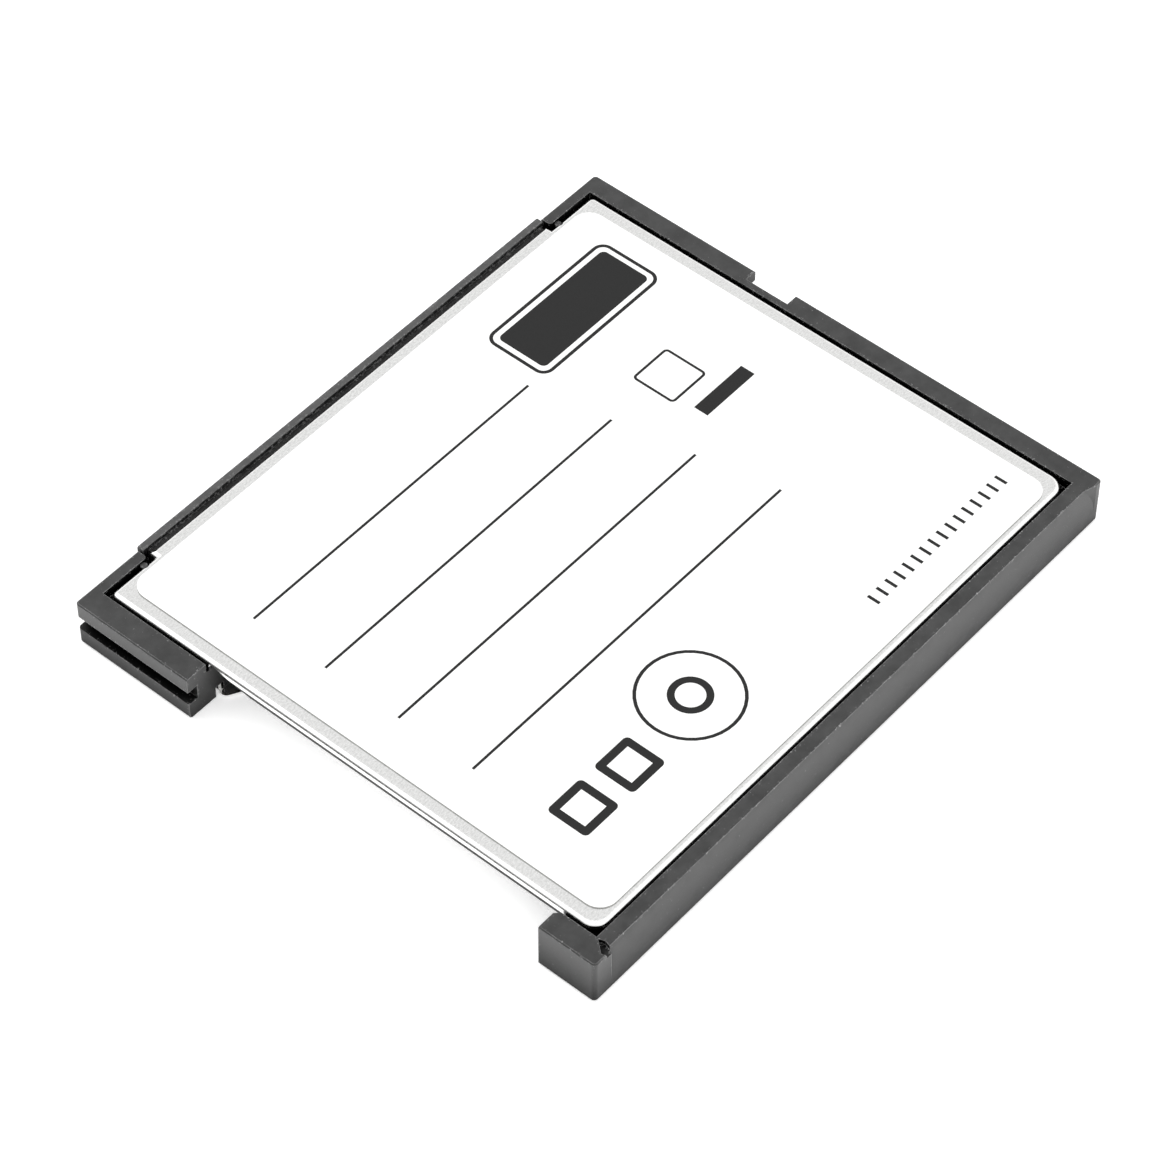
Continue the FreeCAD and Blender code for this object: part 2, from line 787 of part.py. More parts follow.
def contact_order():
    """The small card's pad numbers with their places along Y, from its cut corner."""
    first_y = mouth_rear_y + small_card_side_gap + first_pad_offset
    places = {}
    for step, number in enumerate((contact_count,) + tuple(range(1, contact_count - 1))):
        places[number] = first_y + step * contact_pitch
    places[contact_count - 1] = places[contact_count - 2] + last_contact_pitch
    return places


def contact_tip_reach(number):
    """How far a contact's crown lies from the card's end: power pads are met first."""
    return early_contact_reach if str(number) in power_pads else contact_reach


def make_card_contact(number, place_y):
    """A bent spring: tail under the board, run on the carrier's floor, crown against the pad."""
    half = contact_sheet / 2
    tail_z = board_bottom_z - half
    run_z = carrier_floor_z + half
    block_end_x = rib_end_x + carrier_block
    rise_x = card_stop_x - small_card_end_gap + contact_rise_gap
    crown_x = card_stop_x - small_card_end_gap - contact_tip_reach(number)
    crown_z = pad_z + contact_preload
    tail_start_x = block_end_x + contact_tail_gap
    path = [
        (tail_start_x + contact_tail_rise + contact_tail_length, tail_z, 0),
        (tail_start_x + contact_tail_rise, tail_z, 0),
        (tail_start_x, run_z, 0),
        (rise_x, run_z, root_bend_radius),
        (crown_x, crown_z, crown_bend_radius),
        (crown_x - contact_tip_length, crown_z - contact_tip_drop, 0),
    ]
    return prism(strip_section(path, contact_sheet), "xz",
                 place_y - contact_width / 2, place_y + contact_width / 2)


def make_carrier():
    """Moulded carrier: a floor with windows, a stop for the card and a channelled block."""
    low_y = mouth_rear_y + carrier_side_gap
    high_y = mouth_front_y - carrier_side_gap
    floor_x = card_stop_x - contact_reach_limit()
    block_end_x = rib_end_x + carrier_block
    solid = joined(
        box(floor_x, block_end_x, low_y, high_y, carrier_bottom_z, carrier_floor_z),
        box(card_stop_x, rib_end_x, low_y, high_y, carrier_floor_z, upper_inside_z - stop_top_gap),
        box(rib_end_x, block_end_x, low_y, high_y, carrier_floor_z, board_bottom_z),
    )
    cutters = []
    for number, place_y in contact_order().items():
        half = carrier_channel / 2
        tip_x = card_stop_x - contact_tip_reach(number) - contact_tip_length
        cutters.append(box(card_stop_x, block_end_x, place_y - half, place_y + half,
                           carrier_floor_z, carrier_floor_z + carrier_channel_height))
        cutters.append(box(tip_x - carrier_window_margin, card_stop_x - carrier_window_margin,
                           place_y - half - carrier_window_margin / 2,
                           place_y + half + carrier_window_margin / 2,
                           carrier_bottom_z, carrier_floor_z))
    return cut_all(solid, cutters)


def make_switch_spring(middle_x):
    """A blade along the bay's wall whose bump reaches into the bay, with a foot on the board."""
    run_y = rib_outer_y + switch_sheet / 2
    bump_y = mouth_front_y - switch_bump_in
    top_z = board_top_z + switch_lift
    start_x = middle_x + switch_bump_half + switch_run
    path = [
        (start_x, run_y, 0),
        (middle_x + switch_bump_half, run_y, switch_knee_radius),
        (middle_x, bump_y, switch_bump_radius),
        (middle_x - switch_bump_half, rib_outer_y - switch_end_depth, 0),
    ]
    blade = prism(strip_section(path, switch_sheet), "xy", board_bottom_z + switch_web_gap, top_z)
    foot = box(start_x - switch_foot_width, start_x, rib_outer_y,
               rib_outer_y + switch_foot_length, board_top_z, top_z)
    return joined(blade, foot)


def make_switch_contact(middle_x):
    """The fixed contact: a plate that stands on the board behind the blade's free end."""
    near_y = board_strip_y + board_gap
    left_x = middle_x - switch_bump_half - switch_contact_length / 2
    right_x = left_x + switch_contact_length
    wall = box(left_x, right_x, near_y, near_y + switch_sheet,
               board_top_z, board_top_z + switch_contact_height)
    foot = box(left_x, right_x, near_y, rib_outer_y + switch_foot_length,
               board_top_z, board_top_z + switch_sheet)
    return joined(wall, foot)


def controller_place():
    """Centre of the controller in the board's field beyond the card."""
    field_middle_y = (board_rear_y + board_strip_y) / 2
    return (board_left_x + board_right_x) / 2, field_middle_y + controller_from_middle


def bulk_capacitor_y():
    """Place of the larger capacitors, at the front of the board's field."""
    return board_strip_y - bulk_capacitor_from_strip


def make_controller():
    """Square leadless controller with a chamfered top and a pin mark."""
    x, y = controller_place()
    half = controller_side / 2
    top_z = board_top_z + headroom - controller_headroom
    body = box(x - half, x + half, y - half, y + half, board_top_z, top_z)
    body = body.makeChamfer(controller_chamfer, edges_at_z(body, top_z))
    mark = Part.makeCylinder(pin_mark_radius, pin_mark_depth,
                             V(x - half + pin_mark_inset, y + half - pin_mark_inset,
                               top_z - pin_mark_depth))
    return body.cut(mark)


def make_regulator():
    """Small moulded regulator with three leads on one side and two on the other."""
    x, _ = controller_place()
    half_l = regulator_length / 2
    half_w = regulator_width / 2
    y = bulk_capacitor_y() - bulk_capacitor_width / 2 - regulator_gap - lead_reach - half_w
    body = box(x - half_l, x + half_l, y - half_w, y + half_w,
               board_top_z + lead_thickness, board_top_z + headroom - regulator_headroom)
    leads = []
    for side, steps in ((-1, (-1, 0, 1)), (1, (-1, 1))):
        for step in steps:
            lead_x = x + step * lead_pitch
            near = y + side * (half_w - lead_reach)
            low_y, high_y = sorted((near, y + side * (half_w + lead_reach)))
            leads.append(box(lead_x - lead_width / 2, lead_x + lead_width / 2, low_y, high_y,
                             board_top_z, board_top_z + lead_thickness))
    return joined(body, *leads)


def make_crystal():
    """Ceramic package of the clock crystal with a raised metal lid."""
    x, _ = controller_place()
    y = board_rear_y + crystal_from_rear
    half_l = crystal_length / 2
    half_w = crystal_width / 2
    top_z = board_top_z + headroom - crystal_headroom
    base = box(x - half_l, x + half_l, y - half_w, y + half_w, board_top_z, top_z - crystal_lid)
    lid = box(x - half_l + crystal_rim, x + half_l - crystal_rim,
              y - half_w + crystal_rim, y + half_w - crystal_rim, top_z - crystal_lid, top_z)
    return joined(base, lid)


def make_chip_part(length, width, height, x, y):
    """A chip capacitor or resistor: a body between two slightly taller end caps."""
    half = length / 2
    body_top = height - end_cap_skin
    section = [
        (-half, 0, 0),
        (half, 0, 0),
        (half, height, 0),
        (half - end_cap, height, 0),
        (half - end_cap, body_top, 0),
        (end_cap - half, body_top, 0),
        (end_cap - half, height, 0),
        (-half, height, 0),
    ]
    return prism(section, "xz", -width / 2, width / 2).translated(V(x, y, board_top_z))


def make_bulk_capacitors():
    """Two larger capacitors in front of the regulator."""
    x, _ = controller_place()
    spread = (board_right_x - board_left_x) / 4
    height = headroom - bulk_capacitor_headroom
    return Part.makeCompound([make_chip_part(bulk_capacitor_length, bulk_capacitor_width, height,
                                             x + side * spread, bulk_capacitor_y())
                              for side in (-1, 1)])


def make_bypass_capacitors():
    """Small capacitors in two rows before and behind the controller."""
    x, y = controller_place()
    away = controller_side / 2 + small_chip_length
    spread = controller_side / 3
    return Part.makeCompound([make_chip_part(small_chip_length, small_chip_width,
                                             bypass_capacitor_height,
                                             x + column * spread, y + row * away)
                              for row in (-1, 1) for column in (-1, 0, 1)])


def make_resistors():
    """A row of chip resistors on the strip behind the socket, left of the switches."""
    first_x = -ear_x + resistor_pitch
    place_y = (board_strip_y + board_front_y - socket_tail_length) / 2
    return Part.makeCompound([make_chip_part(small_chip_length, small_chip_width, resistor_height,
                                             first_x + step * resistor_pitch, place_y)
                              for step in range(resistor_count)])


def make_upper_film():
    """Insulating film under the upper cover, over the board's field."""
    return box(board_left_x, ledge_right_x - board_ledge_width - film_margin,
               board_rear_y + film_margin, board_front_y - film_margin,
               upper_inside_z - film, upper_inside_z)


def make_lower_film():
    """Insulating film on the lower cover, under the carrier and the board's field."""
    low_y = mouth_rear_y + carrier_side_gap
    high_y = mouth_front_y - carrier_side_gap
    right_x = ledge_right_x - board_ledge_width - film_margin
    return box(card_stop_x - contact_reach_limit(), right_x, low_y, high_y, sheet, sheet + film)


def build_nodes():
    """Every sub-part by the name of its file."""
    nodes = {
        "frame": make_frame(),
        "label_side_cover": make_upper_cover(),
        "underside_cover": make_lower_cover(),
        "blank_label": make_label(),
        "circuit_board": make_board(),
        "socket_housing": make_socket_housing(),
        "socket_contacts_upper": make_socket_row(1),
        "socket_contacts_lower": make_socket_row(-1),
        "contact_carrier": make_carrier(),
        "controller_chip": make_controller(),
        "voltage_regulator": make_regulator(),
        "clock_crystal": make_crystal(),
        "bulk_capacitors": make_bulk_capacitors(),
        "bypass_capacitors": make_bypass_capacitors(),
        "chip_resistors": make_resistors(),
        "upper_insulating_film": make_upper_film(),
        "lower_insulating_film": make_lower_film(),
    }
    for number, place_y in contact_order().items():
        nodes["card_contact_%d" % number] = make_card_contact(number, place_y)
    for name, middle_x in switch_places().items():
        nodes[name + "_spring"] = make_switch_spring(middle_x)
        nodes[name + "_contact"] = make_switch_contact(middle_x)
    return nodes


os.makedirs("parts", exist_ok=True)
for node_name, shape in sorted(build_nodes().items()):
    shape.exportStep("parts/%s.step" % node_name)
    print("%-24s %2d solid(s) %9.2f mm3 valid %s"
          % (node_name, len(shape.Solids), shape.Volume, shape.isValid()))
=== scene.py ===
"""Dresses the flat memory card adapter: moulded frame, pressed steel covers, paper label and socket.

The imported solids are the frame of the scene. This script gives each of them its finish, adds the ink
that is printed on the label, and sets the floor, the light and the camera. All lengths are in metres
once they are used. Sizes that a maker would quote are written in millimetres and turned by mm().
"""

import logging
import math
from dataclasses import dataclass
from enum import Enum
from typing import Any, Iterable, Optional, Union

import bmesh
import bpy
from mathutils import Matrix, Vector


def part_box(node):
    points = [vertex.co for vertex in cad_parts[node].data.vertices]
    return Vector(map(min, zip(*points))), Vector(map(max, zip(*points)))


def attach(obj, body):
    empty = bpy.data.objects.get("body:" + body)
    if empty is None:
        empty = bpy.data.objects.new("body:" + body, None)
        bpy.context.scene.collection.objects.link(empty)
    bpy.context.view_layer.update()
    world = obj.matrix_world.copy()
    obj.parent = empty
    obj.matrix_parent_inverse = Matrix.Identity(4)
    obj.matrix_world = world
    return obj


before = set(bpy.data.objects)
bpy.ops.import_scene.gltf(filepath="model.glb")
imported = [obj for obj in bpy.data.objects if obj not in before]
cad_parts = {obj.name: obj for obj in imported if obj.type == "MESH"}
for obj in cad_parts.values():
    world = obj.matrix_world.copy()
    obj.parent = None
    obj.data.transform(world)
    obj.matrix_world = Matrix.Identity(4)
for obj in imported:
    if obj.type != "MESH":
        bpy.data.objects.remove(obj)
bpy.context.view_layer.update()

log = logging.getLogger("adapter")

Tree = bpy.types.NodeTree
Node = bpy.types.Node
Socket = bpy.types.NodeSocket
Material = bpy.types.Material
Piece = bpy.types.Object
Face = bmesh.types.BMFace
Key = Union[str, int]

# Most of a noise texture's values lie in this span, so patterns are stretched from it.
NOISE_SPAN = {"From Min": 0.3, "From Max": 0.7}
# The cosine between the flat and the rounded normal, above which a place is no edge.
OPEN_FACE = 0.975
# How many rays the shading takes for a rounded edge, and for the painted shade in recesses.
EDGE_SAMPLES = 6
SHADE_SAMPLES = 8
# A Mix node has several sockets of one name, so those of its colours are taken by number.
MIX_FACTOR = 0
MIX_FIRST = 6
MIX_SECOND = 7
MIX_RESULT = 2


def mm(length: float) -> float:
    """Millimetres in metres."""
    return length * 0.001


def linear(colour: str) -> tuple[float, float, float, float]:
    """Turns an sRGB hex colour into linear light.

    Args:
        colour: Six hex digits, such as "8a8f94".

    Returns:
        Red, green, blue and an alpha of one, as the shader sockets take them.
    """
    parts = [int(colour[i:i + 2], 16) / 255 for i in (0, 2, 4)]
    turned = [p / 12.92 if p <= 0.04045 else ((p + 0.055) / 1.055) ** 2.4 for p in parts]
    return turned[0], turned[1], turned[2], 1.0


def add_node(tree: Tree, kind: str, settings: Optional[dict[Key, Any]] = None,
             links: Optional[dict[Key, Socket]] = None) -> Node:
    """Adds one shader node.

    Args:
        tree: The node tree that gets it.
        kind: Blender's name of the node type.
        settings: Values by input name or number, or by attribute if it has no such input.
        links: Output sockets by the name or number of the input that each one feeds.

    Returns:
        The new node.
    """
    node = tree.nodes.new(kind)
    for key, value in (settings or {}).items():
        if isinstance(key, int) or key in node.inputs:
            node.inputs[key].default_value = value
        else:
            setattr(node, key, value)
    for key, source in (links or {}).items():
        tree.links.new(source, node.inputs[key])
    return node


def per_mm(feature: float) -> float:
    """The scale of a pattern whose features are this many millimetres apart."""
    return 1000.0 / feature


@dataclass(frozen=True)
class Finish:
    """A surface finish: what a piece is made of and how its surface came about."""

    name: str
    colour: str
    roughness: float

    def build(self) -> Material:
        """Makes the material.

        Returns:
            A material with this finish's own nodes on a Principled shader.
        """
        material = bpy.data.materials.new(self.name)
        material.use_nodes = True
        tree = material.node_tree
        shader = tree.nodes["Principled BSDF"]
        shader.inputs["Base Color"].default_value = linear(self.colour)
        shader.inputs["Roughness"].default_value = self.roughness
        place = add_node(tree, "ShaderNodeTexCoord").outputs["Object"]
        self.dress(tree, shader, place)
        return material

    def dress(self, tree: Tree, shader: Node, place: Socket) -> None:
        """Adds the nodes of this finish.

        Args:
            tree: The material's node tree.
            shader: Its Principled shader.
            place: Object coordinates, in metres.
        """
        raise NotImplementedError


@dataclass(frozen=True)
class MouldedPlastic(Finish):
    """Black glass-filled plastic from a spark-eroded mould: satin, with a fine even grain.

    No moulded edge is quite sharp, so each has a small radius in the shading. Colour and gloss
    get painted shade in recesses and low down near the floor, read from how closed in each place
    is. Where a finish is worn, the edges are made paler, partly as rubbed wear and partly as a
    painted highlight, and nicks are scattered near them. Lengths are in millimetres.
    """

    ior: float = 1.52
    gloss_spread: float = 0.08
    grain: float = 0.09
    grain_depth: float = 0.004
    edge: float = 0.06
    flow: float = 0.9
    flow_contrast: float = 0.14
    flank_polish: float = 0.53
    top_polish: float = 0.5
    shade_reach: float = 3.0
    shade_power: float = 2.5
    wear_and_highlight: float = 0.0
    pale_colour: str = "b4b4b4"
    pale_edge_turn: float = 0.94
    pale_edge_patch: float = 0.8
    pale_edge_least: float = 0.1
    pale_edge_most: float = 0.8
    nick: float = 0.14
    nick_from: float = 0.685
    nick_blur: float = 0.04
    nick_reach: float = 0.35
    nick_turn: float = 0.9
    nick_lift: float = 0.1

    def dress(self, tree: Tree, shader: Node, place: Socket) -> None:
        """Edge rounding and grain in the shading, polish, painted shade, pale edges and nicks."""
        shader.inputs["IOR"].default_value = self.ior
        rounded = add_node(tree, "ShaderNodeBevel",
                           {"samples": EDGE_SAMPLES, "Radius": mm(self.edge)}).outputs["Normal"]
        grain = add_node(tree, "ShaderNodeTexNoise",
                         {"Scale": per_mm(self.grain), "Detail": 3.0, "Roughness": 0.6},
                         {"Vector": place}).outputs["Fac"]
        bump = add_node(tree, "ShaderNodeBump",
                        {"Strength": 0.5, "Distance": mm(self.grain_depth)},
                        {"Height": grain, "Normal": rounded})
        tree.links.new(bump.outputs["Normal"], shader.inputs["Normal"])
        marks = add_node(tree, "ShaderNodeTexNoise", {"Scale": per_mm(self.flow), "Detail": 4.0},
                         {"Vector": place}).outputs["Fac"]
        gloss = add_node(tree, "ShaderNodeMapRange",
                         {**NOISE_SPAN, "To Min": self.roughness - self.gloss_spread,
                          "To Max": self.roughness + self.gloss_spread}, {"Value": marks})
        tree.links.new(gloss.outputs["Result"], shader.inputs["Roughness"])
        # Painted shade in recesses and near the floor, times random flow marks; it scales the colour
        # and the specular level below.
        shade_and_flow = self.painted_shade_and_flow(tree, marks)
        flat = add_node(tree, "ShaderNodeNewGeometry").outputs["True Normal"]
        upward = add_node(tree, "ShaderNodeSeparateXYZ", {}, {"Vector": flat}).outputs["Z"]
        polish = add_node(tree, "ShaderNodeMapRange",
                          {"To Min": self.flank_polish, "To Max": self.top_polish},
                          {"Value": upward}).outputs["Result"]
        shine = add_node(tree, "ShaderNodeMath", {"operation": "MULTIPLY"},
                         {0: polish, 1: shade_and_flow})
        tree.links.new(shine.outputs["Value"], shader.inputs["Specular IOR Level"])
        colour = add_node(tree, "ShaderNodeVectorMath",
                          {"operation": "SCALE", 0: linear(self.colour)[:3]},
                          {"Scale": shade_and_flow}).outputs["Vector"]
        if self.wear_and_highlight > 0:
            colour = self.worn_and_highlit(tree, place, flat, colour)
        tree.links.new(colour, shader.inputs["Base Color"])

    def painted_shade_and_flow(self, tree: Tree, marks: Socket) -> Socket:
        """Painted shade in recesses and near the floor, times the plastic's flow marks.

        Args:
            tree: The material's node tree.
            marks: The noise of the flow marks.

        Returns:
            A value socket.
        """
        # Painted shade: colour and gloss fall where the occlusion look-up finds the place closed in.
        reached = add_node(tree, "ShaderNodeAmbientOcclusion",
                           {"samples": SHADE_SAMPLES, "Distance": mm(self.shade_reach)}).outputs["AO"]
        painted_shade = add_node(tree, "ShaderNodeMath", {"operation": "POWER", 1: self.shade_power},
                           {0: reached}).outputs["Value"]
        flow = add_node(tree, "ShaderNodeMapRange",
                        {**NOISE_SPAN, "To Min": 1.0 - self.flow_contrast,
                         "To Max": 1.0 + self.flow_contrast}, {"Value": marks}).outputs["Result"]
        return add_node(tree, "ShaderNodeMath", {"operation": "MULTIPLY"},
                        {0: painted_shade, 1: flow}).outputs["Value"]

    def near_edge(self, tree: Tree, flat: Socket, radius: float, turned: float) -> Socket:
        """A mask that is one along edges and zero on open faces.

        Args:
            tree: The material's node tree.
            flat: The unrounded normal.
            radius: How far from an edge it reaches, in millimetres.
            turned: The cosine between flat and rounded normal at which it is one.

        Returns:
            A value socket.
        """
        rounded = add_node(tree, "ShaderNodeBevel",
                           {"samples": EDGE_SAMPLES, "Radius": mm(radius)}).outputs["Normal"]
        turn = add_node(tree, "ShaderNodeVectorMath", {"operation": "DOT_PRODUCT"},
                        {0: flat, 1: rounded}).outputs["Value"]
        return add_node(tree, "ShaderNodeMapRange", {"From Min": OPEN_FACE, "From Max": turned},
                        {"Value": turn}).outputs["Result"]

    def worn_and_highlit(self, tree: Tree, place: Socket, flat: Socket, colour: Socket) -> Socket:
        """The colour with pale edges, part wear and part painted highlight, and pale nicks.

        Args:
            tree: The material's node tree.
            place: Object coordinates, in metres.
            flat: The unrounded normal.
            colour: The colour of the plastic.

        Returns:
            A colour socket.
        """
        # Pale edges: partly rubbed wear, partly a painted highlight along every edge.
        patches = add_node(tree, "ShaderNodeTexNoise",
                           {"Scale": per_mm(self.pale_edge_patch), "Detail": 4.0},
                           {"Vector": place}).outputs["Fac"]
        patchy = add_node(tree, "ShaderNodeMapRange",
                          {**NOISE_SPAN, "To Min": self.pale_edge_least, "To Max": self.pale_edge_most},
                          {"Value": patches}).outputs["Result"]
        edges = self.near_edge(tree, flat, self.edge, self.pale_edge_turn)
        pale_edges = add_node(tree, "ShaderNodeMath", {"operation": "MULTIPLY"},
                          {0: edges, 1: patchy}).outputs["Value"]
        specks = add_node(tree, "ShaderNodeTexNoise",
                          {"Scale": per_mm(self.nick), "Detail": 4.0, "Roughness": 0.7},
                          {"Vector": place}).outputs["Fac"]
        exposed = self.near_edge(tree, flat, self.nick_reach, self.nick_turn)
        lifted = add_node(tree, "ShaderNodeMath",
                          {"operation": "MULTIPLY_ADD", 1: self.nick_lift},
                          {0: exposed, 2: specks}).outputs["Value"]
        nicks = add_node(tree, "ShaderNodeMapRange",
                         {"From Min": self.nick_from, "From Max": self.nick_from + self.nick_blur},
                         {"Value": lifted}).outputs["Result"]
        either = add_node(tree, "ShaderNodeMath", {"operation": "MAXIMUM"},
                          {0: pale_edges, 1: nicks}).outputs["Value"]
        amount = add_node(tree, "ShaderNodeMath", {"operation": "MULTIPLY", 1: self.wear_and_highlight},
                          {0: either}).outputs["Value"]
        mixed = add_node(tree, "ShaderNodeMix",
                         {"data_type": "RGBA", MIX_SECOND: linear(self.pale_colour)},
                         {MIX_FACTOR: amount, MIX_FIRST: colour})
        return mixed.outputs[MIX_RESULT]


@dataclass(frozen=True)
class RolledSteel(Finish):
    """Cold-rolled stainless sheet: pale, fine-grained, with the rolling direction along its length.

    Between two heights it is made near black: a painted shadow along the lower edge of the lip,
    and painted shade where the sheet stands in the gaps. Lengths are in millimetres.
    """

    grain: float = 0.11
    stretch: float = 0.6
    gloss_spread: float = 0.08
    depth: float = 0.0015
    mottle: float = 0.12
    dark_from: float = 0.0
    dark_to: float = 0.0
    dark_tone: float = 0.03

    def dress(self, tree: Tree, shader: Node, place: Socket) -> None:
        """Drawn-out grain that varies tone and gloss and stands very slightly proud, and painted
        shade.
        """
        shader.inputs["Metallic"].default_value = 1.0
        drawn = add_node(tree, "ShaderNodeMapping", {"Scale": (self.stretch, 1.0, 1.0)},
                         {"Vector": place}).outputs["Vector"]
        grain = add_node(tree, "ShaderNodeTexNoise",
                         {"Scale": per_mm(self.grain), "Detail": 5.0, "Roughness": 0.65},
                         {"Vector": drawn}).outputs["Fac"]
        gloss = add_node(tree, "ShaderNodeMapRange",
                         {"To Min": self.roughness - self.gloss_spread,
                          "To Max": self.roughness + self.gloss_spread}, {"Value": grain})
        tree.links.new(gloss.outputs["Result"], shader.inputs["Roughness"])
        mottled = add_node(tree, "ShaderNodeMapRange",
                           {**NOISE_SPAN, "To Min": 1.0 - self.mottle,
                            "To Max": 1.0 + self.mottle}, {"Value": grain}).outputs["Result"]
        # The tone also takes the painted shade band between the two heights.
        tone = add_node(tree, "ShaderNodeMath", {"operation": "MULTIPLY"},
                        {0: mottled, 1: self.painted_shade_band(tree, place)}).outputs["Value"]
        colour = add_node(tree, "ShaderNodeVectorMath",
                          {"operation": "SCALE", 0: linear(self.colour)[:3]}, {"Scale": tone})
        tree.links.new(colour.outputs["Vector"], shader.inputs["Base Color"])
        bump = add_node(tree, "ShaderNodeBump", {"Strength": 0.6, "Distance": mm(self.depth)},
                        {"Height": grain})
        tree.links.new(bump.outputs["Normal"], shader.inputs["Normal"])

    def painted_shade_band(self, tree: Tree, place: Socket) -> Socket:
        """The painted shade: a factor that is near zero between the two heights and one elsewhere.

        Args:
            tree: The material's node tree.
            place: Object coordinates, in metres.

        Returns:
            A value socket.
        """
        height = add_node(tree, "ShaderNodeSeparateXYZ", {}, {"Vector": place}).outputs["Z"]
        above = add_node(tree, "ShaderNodeMath",
                         {"operation": "GREATER_THAN", 1: mm(self.dark_from)},
                         {0: height}).outputs["Value"]
        below = add_node(tree, "ShaderNodeMath",
                         {"operation": "LESS_THAN", 1: mm(self.dark_to)},
                         {0: height}).outputs["Value"]
        band = add_node(tree, "ShaderNodeMath", {"operation": "MULTIPLY"},
                        {0: above, 1: below}).outputs["Value"]
        return add_node(tree, "ShaderNodeMapRange", {"To Min": 1.0, "To Max": self.dark_tone},
                        {"Value": band}).outputs["Result"]


@dataclass(frozen=True)
class CoatedPaper(Finish):
    """Coated white label paper: nearly matt on top, with its sideways faces mixed toward grey."""

    ior: float = 1.45
    edge_colour: str = "a9a9a7"
    fibre: float = 0.25
    fibre_depth: float = 0.002

    def dress(self, tree: Tree, shader: Node, place: Socket) -> None:
        """Faint fibres in the coating, and grey mixed in as the surface turns sideways."""
        shader.inputs["IOR"].default_value = self.ior
        flat = add_node(tree, "ShaderNodeNewGeometry").outputs["True Normal"]
        upward = add_node(tree, "ShaderNodeSeparateXYZ", {}, {"Vector": flat}).outputs["Z"]
        mixed = add_node(tree, "ShaderNodeMix",
                         {"data_type": "RGBA", MIX_FIRST: linear(self.edge_colour),
                          MIX_SECOND: linear(self.colour)}, {MIX_FACTOR: upward})
        tree.links.new(mixed.outputs[MIX_RESULT], shader.inputs["Base Color"])
        fibres = add_node(tree, "ShaderNodeTexNoise",
                          {"Scale": per_mm(self.fibre), "Detail": 4.0}, {"Vector": place})
        bump = add_node(tree, "ShaderNodeBump",
                        {"Strength": 0.3, "Distance": mm(self.fibre_depth)},
                        {"Height": fibres.outputs["Fac"]})
        tree.links.new(bump.outputs["Normal"], shader.inputs["Normal"])


@dataclass(frozen=True)
class PrintedInk(Finish):
    """Black printing ink on coated paper: flat and even, with a little tooth from the paper."""

    thin_colour: str = "242424"
    tooth: float = 0.06
    sheen: float = 0.28

    def dress(self, tree: Tree, shader: Node, place: Socket) -> None:
        """Small changes of density, as a press leaves them in a solid field."""
        shader.inputs["Specular IOR Level"].default_value = self.sheen
        press = add_node(tree, "ShaderNodeTexNoise",
                         {"Scale": per_mm(self.tooth), "Detail": 2.0}, {"Vector": place})
        mixed = add_node(tree, "ShaderNodeMix",
                         {"data_type": "RGBA", MIX_FIRST: linear(self.colour),
                          MIX_SECOND: linear(self.thin_colour)},
                         {MIX_FACTOR: press.outputs["Fac"]})
        tree.links.new(mixed.outputs[MIX_RESULT], shader.inputs["Base Color"])


@dataclass(frozen=True)
class PlatedMetal(Finish):
    """Thin plating on stamped strip: smooth, with faint draw lines from the stamping."""

    line: float = 0.08
    gloss_spread: float = 0.07

    def dress(self, tree: Tree, shader: Node, place: Socket) -> None:
        """Draw lines in the gloss."""
        shader.inputs["Metallic"].default_value = 1.0
        lines = add_node(tree, "ShaderNodeTexNoise", {"Scale": per_mm(self.line), "Detail": 2.0},
                         {"Vector": place})
        gloss = add_node(tree, "ShaderNodeMapRange",
                         {"To Min": self.roughness - self.gloss_spread,
                          "To Max": self.roughness + self.gloss_spread},
                         {"Value": lines.outputs["Fac"]})
        tree.links.new(gloss.outputs["Result"], shader.inputs["Roughness"])


@dataclass(frozen=True)
class Mottled(Finish):
    """A plain solid with fine mottling, such as ceramic, mould compound, solder mask or film."""

    second_colour: str = "808080"
    mottle: float = 0.3
    relief: float = 0.003
    ior: float = 1.5
    metallic: float = 0.0

    def dress(self, tree: Tree, shader: Node, place: Socket) -> None:
        """Two close colours mixed by a fine noise, which also stands slightly proud."""
        shader.inputs["IOR"].default_value = self.ior
        shader.inputs["Metallic"].default_value = self.metallic
        noise = add_node(tree, "ShaderNodeTexNoise",
                         {"Scale": per_mm(self.mottle), "Detail": 4.0},
                         {"Vector": place}).outputs["Fac"]
        mixed = add_node(tree, "ShaderNodeMix",
                         {"data_type": "RGBA", MIX_FIRST: linear(self.colour),
                          MIX_SECOND: linear(self.second_colour)}, {MIX_FACTOR: noise})
        tree.links.new(mixed.outputs[MIX_RESULT], shader.inputs["Base Color"])
        bump = add_node(tree, "ShaderNodeBump", {"Strength": 0.3, "Distance": mm(self.relief)},
                        {"Height": noise})
        tree.links.new(bump.outputs["Normal"], shader.inputs["Normal"])


